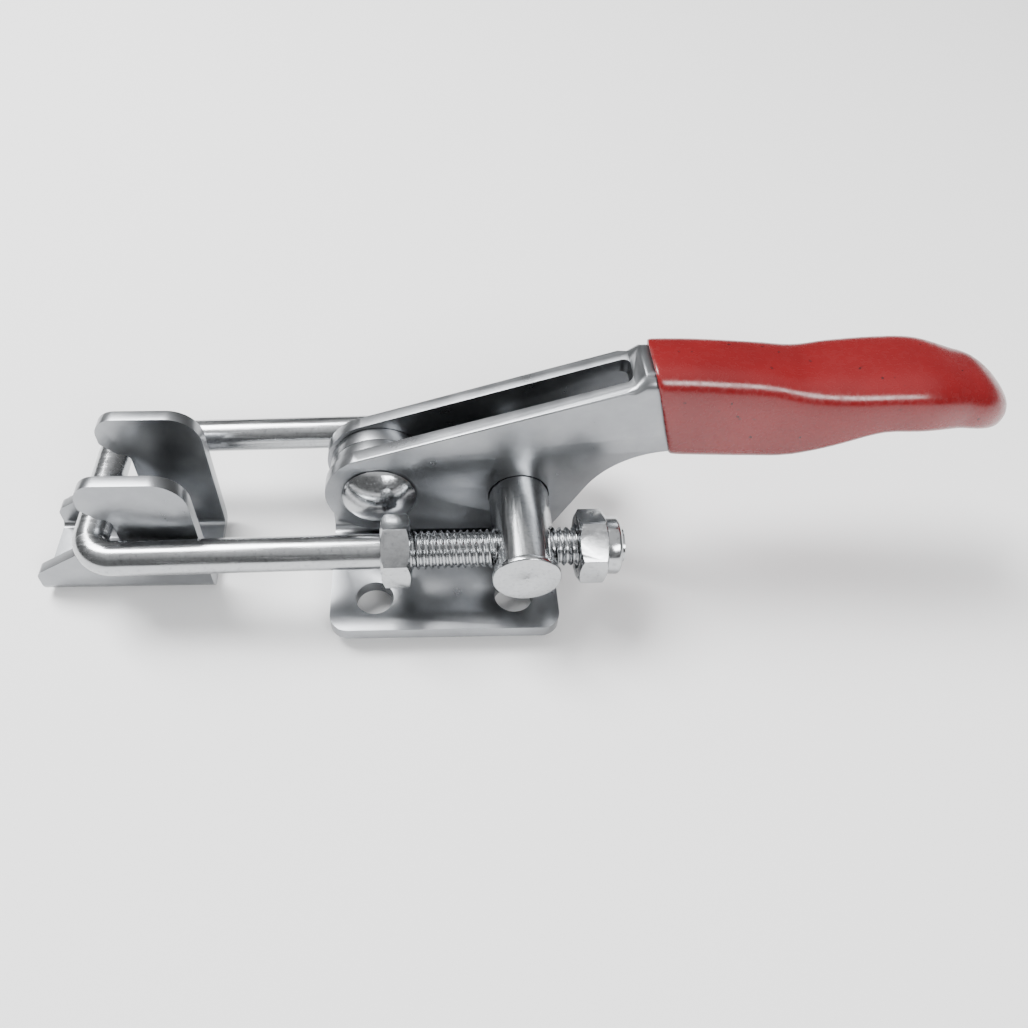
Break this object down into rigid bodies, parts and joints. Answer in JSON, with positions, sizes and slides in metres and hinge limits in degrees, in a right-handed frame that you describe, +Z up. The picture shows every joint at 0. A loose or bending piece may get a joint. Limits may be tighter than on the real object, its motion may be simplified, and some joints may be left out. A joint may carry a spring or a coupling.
{
  "type": "toggle latch clamp",
  "caption": "Pull-action toggle latch clamp: flanged base, channel handle with dipped red grip, cross shaft, threaded U-bolt with nuts, and a hooked keeper plate.",
  "frame": {"origin": "under the middle of the whole clamp, shut on its keeper, on the plane of the keeper's underside; the underside of the base is 2.5 mm above it", "axes": "+X from the keeper along the clamp to the grip, +Y towards the rear rod, +Z up from the keeper's underside"},
  "size_m": [0.15, 0.046, 0.0398],
  "materials": {
    "zinc_plate": "bright zinc plated pressed sheet, semi-gloss",
    "bright_zinc": "bright zinc plated turned and rolled steel",
    "red_vinyl": "dipped red vinyl, satin gloss",
    "nylon": "natural nylon ring"
  },
  "bodies": {
    "base": {"base_bracket_front": "zinc_plate", "base_bracket_rear": "zinc_plate", "pivot_rivet": "bright_zinc"},
    "handle": {"handle_channel": "zinc_plate", "handle_grip": "red_vinyl"},
    "cross_shaft": {"cross_shaft": "bright_zinc"},
    "u_bolt": {"u_bolt": "bright_zinc"},
    "jam_nut_front": {"jam_nut_front": "bright_zinc"},
    "jam_nut_rear": {"jam_nut_rear": "bright_zinc"},
    "lock_nut_front": {"lock_nut_front": "bright_zinc", "nylon_insert_front": "nylon"},
    "lock_nut_rear": {"lock_nut_rear": "bright_zinc", "nylon_insert_rear": "nylon"},
    "keeper": {"keeper_plate": "zinc_plate"}
  },
  "joints": [
    {"name": "handle_pivot", "type": "hinge", "parent": "base", "child": "handle", "pos_m": [-0.01965, 0, 0.0154], "axis": [0, -1, 0], "range_deg": [0, 120]},
    {"name": "shaft_turn", "type": "hinge", "parent": "handle", "child": "cross_shaft", "pos_m": [0.00245, -0.00229, 0.015], "axis": [0, -1, 0], "range_deg": [-120, 0]},
    {"name": "u_bolt_slide", "type": "slide", "parent": "cross_shaft", "child": "u_bolt", "axis": [0.9998, 0, 0.0201], "range_m": [-0.0027, 0.0005]},
    {"name": "keeper_swing", "type": "hinge", "parent": "u_bolt", "child": "keeper", "pos_m": [-0.06414, -0.00229, 0.01366], "axis": [0, -1, 0], "range_deg": [-20, 40]},
    {"name": "jam_nut_front_turn", "type": "hinge", "parent": "u_bolt", "child": "jam_nut_front", "pos_m": [0.00245, -0.01509, 0.015], "axis": [0.9998, 0, 0.0201], "continuous": true},
    {"name": "lock_nut_front_turn", "type": "hinge", "parent": "u_bolt", "child": "lock_nut_front", "pos_m": [0.00245, -0.01509, 0.015], "axis": [0.9998, 0, 0.0201], "continuous": true},
    {"name": "jam_nut_rear_turn", "type": "hinge", "parent": "u_bolt", "child": "jam_nut_rear", "pos_m": [0.00245, 0.01051, 0.015], "axis": [0.9998, 0, 0.0201], "continuous": true},
    {"name": "lock_nut_rear_turn", "type": "hinge", "parent": "u_bolt", "child": "lock_nut_rear", "pos_m": [0.00245, 0.01051, 0.015], "axis": [0.9998, 0, 0.0201], "continuous": true}
  ],
  "couplings": [
    {"joint": "shaft_turn", "follows": "handle_pivot", "ratio": -1}
  ]
}
